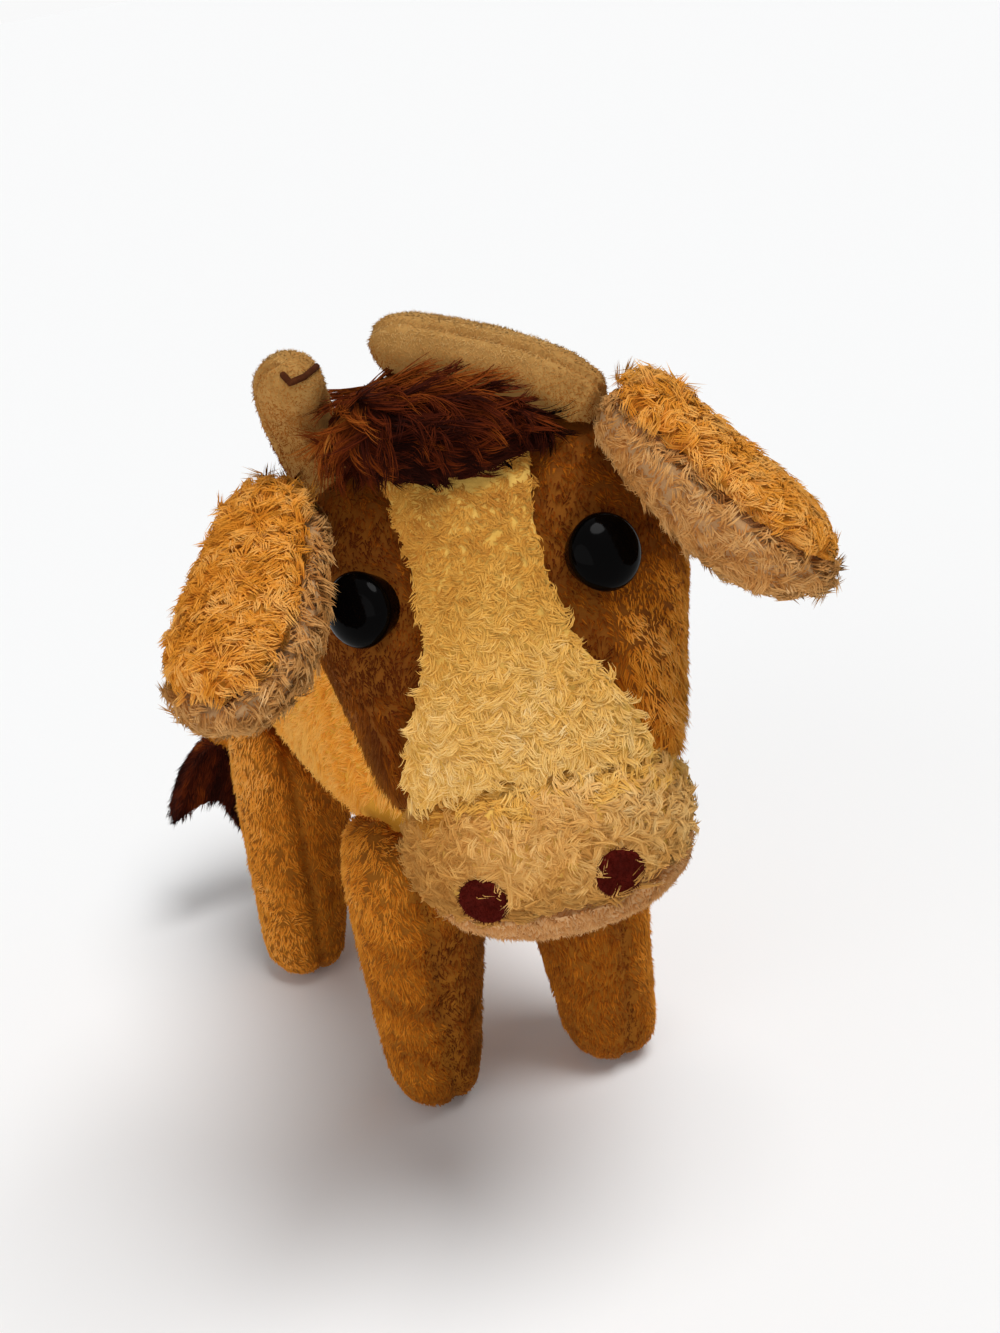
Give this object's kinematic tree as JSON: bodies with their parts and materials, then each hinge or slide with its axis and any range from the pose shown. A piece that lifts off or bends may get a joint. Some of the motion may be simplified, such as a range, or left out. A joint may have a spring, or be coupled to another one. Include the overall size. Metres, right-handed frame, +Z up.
{
  "type": "plush cow",
  "caption": "Standing stuffed plush cow with pale blaze and curly muzzle, glossy eyes, felt horns, dark forelock, lined floppy ears, a head that turns and a tufted tail that swings.",
  "frame": {"origin": "on the ground under the middle of the toy's overall box", "axes": "+Z up, -Y the way the body faces, +X the cow's left side"},
  "size_m": [0.1028, 0.2006, 0.1723],
  "materials": {
    "caramel_plush": "short golden-brown pile",
    "cream_plush": "cream pile, curly on the muzzle",
    "tan_plush": "smooth tan pile",
    "beige_plush": "fluffy beige pile",
    "horn_felt": "tan brushed felt",
    "dark_pile": "long dark-brown pile",
    "nostril_felt": "dark maroon felt",
    "eye_plastic": "polished black",
    "washer_plastic": "moulded white"
  },
  "bodies": {
    "torso": {"torso": "caramel_plush", "leg_front_right": "caramel_plush", "leg_front_left": "caramel_plush", "leg_rear_right": "caramel_plush", "leg_rear_left": "caramel_plush"},
    "head": {"head": "caramel_plush", "blaze": "cream_plush", "muzzle": "cream_plush", "chin": "tan_plush", "nostril_right": "nostril_felt", "nostril_left": "nostril_felt", "eye_right": "eye_plastic", "eye_left": "eye_plastic", "eye_washer_right": "washer_plastic", "eye_washer_left": "washer_plastic", "horn_right": "horn_felt", "horn_left": "horn_felt", "forelock": "dark_pile"},
    "ear_right": {"ear_right": "caramel_plush", "ear_lining_right": "beige_plush"},
    "ear_left": {"ear_left": "caramel_plush", "ear_lining_left": "beige_plush"},
    "tail": {"tail": "caramel_plush", "tail_tuft": "dark_pile"}
  },
  "joints": [
    {"name": "head_turn", "type": "hinge", "parent": "torso", "child": "head", "pos_m": [0.01389, -0.0381, 0.106], "axis": [0, 0, 1], "range_deg": [0, 54], "stiffness_Nm_per_rad": 0.05},
    {"name": "ear_right_flop", "type": "hinge", "parent": "head", "child": "ear_right", "pos_m": [-0.0243, -0.04723, 0.14467], "axis": [-0.7292, 0.6803, -0.0741], "range_deg": [-5, 60], "stiffness_Nm_per_rad": 0.01},
    {"name": "ear_left_flop", "type": "hinge", "parent": "head", "child": "ear_left", "pos_m": [0.02924, -0.0724, 0.1527], "axis": [-0.6928, -0.6941, 0.1954], "range_deg": [-5, 60], "stiffness_Nm_per_rad": 0.01},
    {"name": "tail_swing", "type": "hinge", "parent": "torso", "child": "tail", "pos_m": [0.01389, 0.0739, 0.094], "axis": [0, 1, 0], "range_deg": [-56, 10], "stiffness_Nm_per_rad": 0.02}
  ]
}
